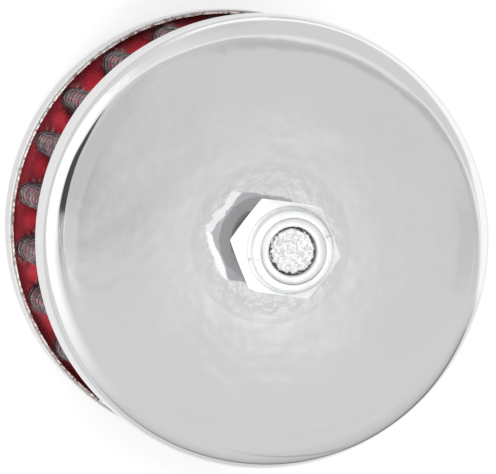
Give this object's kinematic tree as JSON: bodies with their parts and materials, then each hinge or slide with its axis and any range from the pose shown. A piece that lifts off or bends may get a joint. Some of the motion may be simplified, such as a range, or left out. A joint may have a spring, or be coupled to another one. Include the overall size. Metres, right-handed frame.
{
  "type": "crankcase breather filter",
  "caption": "Round breather filter: pleated red cotton between two chromed caps, with a threaded stud and lock nut on the front cap and a plain inlet in the rear cap.",
  "frame": {"origin": "centre of the rear cap's outer face, at the bottom of the object's box", "axes": "+Z along the stud, from the rear cap to the front cap and the nut; +X and +Y across the caps"},
  "size_m": [0.0508, 0.0508, 0.0504],
  "materials": {
    "chrome": "polished chrome plate on pressed steel",
    "seal": "cast polyurethane, glossy, dark red",
    "cotton": "oiled cotton gauze, red",
    "screen": "coated aluminium wire, dark grey",
    "zinc": "bright zinc plate",
    "nylon": "natural nylon"
  },
  "bodies": {
    "root": {"rear_cap": "chrome", "front_cap": "chrome", "rear_seal": "seal", "front_seal": "seal", "cotton_pleats": "cotton", "outer_mesh": "screen", "inner_mesh": "screen", "mount_stud": "zinc", "lock_nut": "zinc", "nut_insert": "nylon"}
  },
  "joints": []
}
